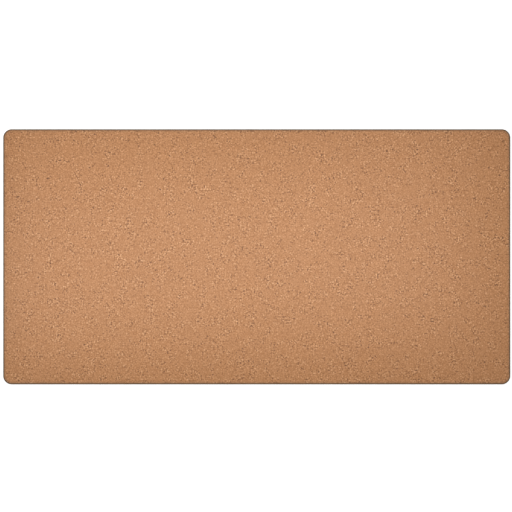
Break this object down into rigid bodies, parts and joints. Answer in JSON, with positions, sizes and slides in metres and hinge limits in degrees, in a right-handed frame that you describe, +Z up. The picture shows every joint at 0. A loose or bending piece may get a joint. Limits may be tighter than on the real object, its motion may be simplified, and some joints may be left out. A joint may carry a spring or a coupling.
{
  "type": "desk mat",
  "caption": "Rectangular desk mat with rounded corners: fine-grain cork work face, leatherette underside and a sealed edge bead.",
  "frame": {"origin": "centre of the underside, on the surface that the mat lies on", "axes": "+X along the mat's length, to the right as seen by a person at the desk; +Y away from that person; +Z up, out of the cork work face"},
  "size_m": [0.8, 0.4026, 0.0025],
  "materials": {
    "cork": "satin",
    "adhesive": "satin",
    "carrier_cloth": "matte",
    "base_cloth": "matte",
    "leatherette": "satin",
    "edge_sealer": "satin"
  },
  "bodies": {
    "root": {"cork_face_sheet": "cork", "face_adhesive_film": "adhesive", "carrier_cloth": "carrier_cloth", "back_adhesive_film": "adhesive", "leatherette_base_cloth": "base_cloth", "leatherette_skin": "leatherette", "edge_bead": "edge_sealer"}
  },
  "joints": []
}
